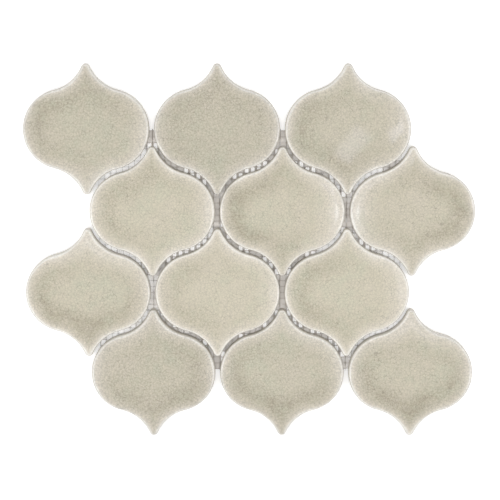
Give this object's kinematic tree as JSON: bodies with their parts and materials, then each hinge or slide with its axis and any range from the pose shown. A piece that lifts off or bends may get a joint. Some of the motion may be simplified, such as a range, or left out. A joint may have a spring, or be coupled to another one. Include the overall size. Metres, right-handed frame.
{
  "type": "ceramic mosaic tile sheet",
  "caption": "Sheet of interlocking glazed ceramic lantern tiles on a glass-fibre net, for covering walls and splashbacks.",
  "frame": {"origin": "middle of the sheet at the underside of the net, which is bedded in adhesive", "axes": "+Z out of the glazed faces, +X along a row of tiles, +Y from the last row to the first"},
  "size_m": [0.3118, 0.261, 0.0086],
  "materials": {
    "glazed_tile": "glossy crackle glaze, thinner and paler at the rim",
    "net": "glass-fibre yarn stiffened with binder"
  },
  "bodies": {
    "root": {"tile_row1_1": "glazed_tile", "tile_row1_2": "glazed_tile", "tile_row1_3": "glazed_tile", "tile_row2_1": "glazed_tile", "tile_row2_2": "glazed_tile", "tile_row2_3": "glazed_tile", "tile_row3_1": "glazed_tile", "tile_row3_2": "glazed_tile", "tile_row3_3": "glazed_tile", "tile_row4_1": "glazed_tile", "tile_row4_2": "glazed_tile", "tile_row4_3": "glazed_tile", "net_warp_yarns": "net", "net_weft_yarns": "net"}
  },
  "joints": []
}
